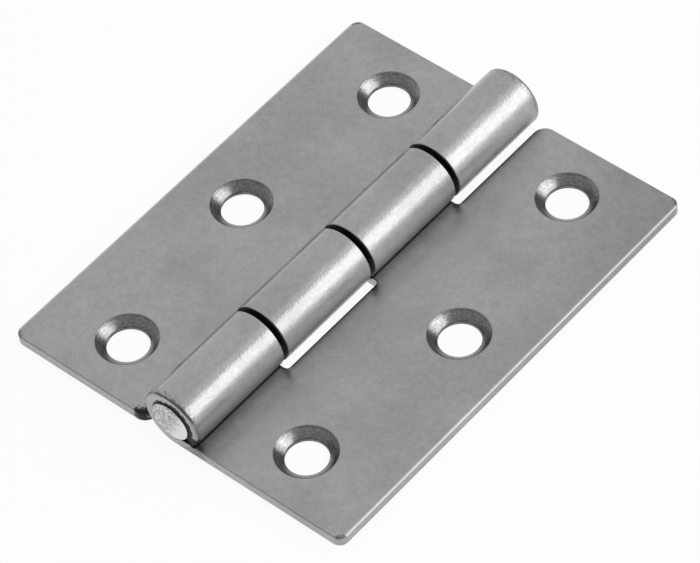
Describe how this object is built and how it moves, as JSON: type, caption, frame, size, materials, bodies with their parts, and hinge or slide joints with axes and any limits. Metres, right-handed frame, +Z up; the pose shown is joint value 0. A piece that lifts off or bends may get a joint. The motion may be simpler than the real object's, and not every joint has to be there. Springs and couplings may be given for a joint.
{
  "type": "butt hinge",
  "caption": "Butt hinge laid open flat: notched steel leaves rolled into knuckles round a fixed pin, with countersunk screw holes, the middle hole staggered.",
  "frame": {"origin": "on the mounting plane, straight under the middle of the pin", "axes": "+Y along the pin, +X across to the right leaf, +Z up out of the mounting faces towards the knuckles and countersinks"},
  "size_m": [0.062, 0.0764, 0.0099],
  "materials": {
    "leaf_steel": "satin self-colour sheet steel, lightly mottled, knuckles rubbed brighter",
    "pin_steel": "drawn steel rod with bright peened ends"
  },
  "bodies": {
    "fixed_side": {"left_leaf": "leaf_steel"},
    "swing_side": {"right_leaf": "leaf_steel", "hinge_pin": "pin_steel"}
  },
  "joints": [
    {"name": "leaf_swing", "type": "hinge", "parent": "fixed_side", "child": "swing_side", "pos_m": [0, 0, 0.00495], "axis": [0, -1, 0], "range_deg": [-90, 190]}
  ]
}
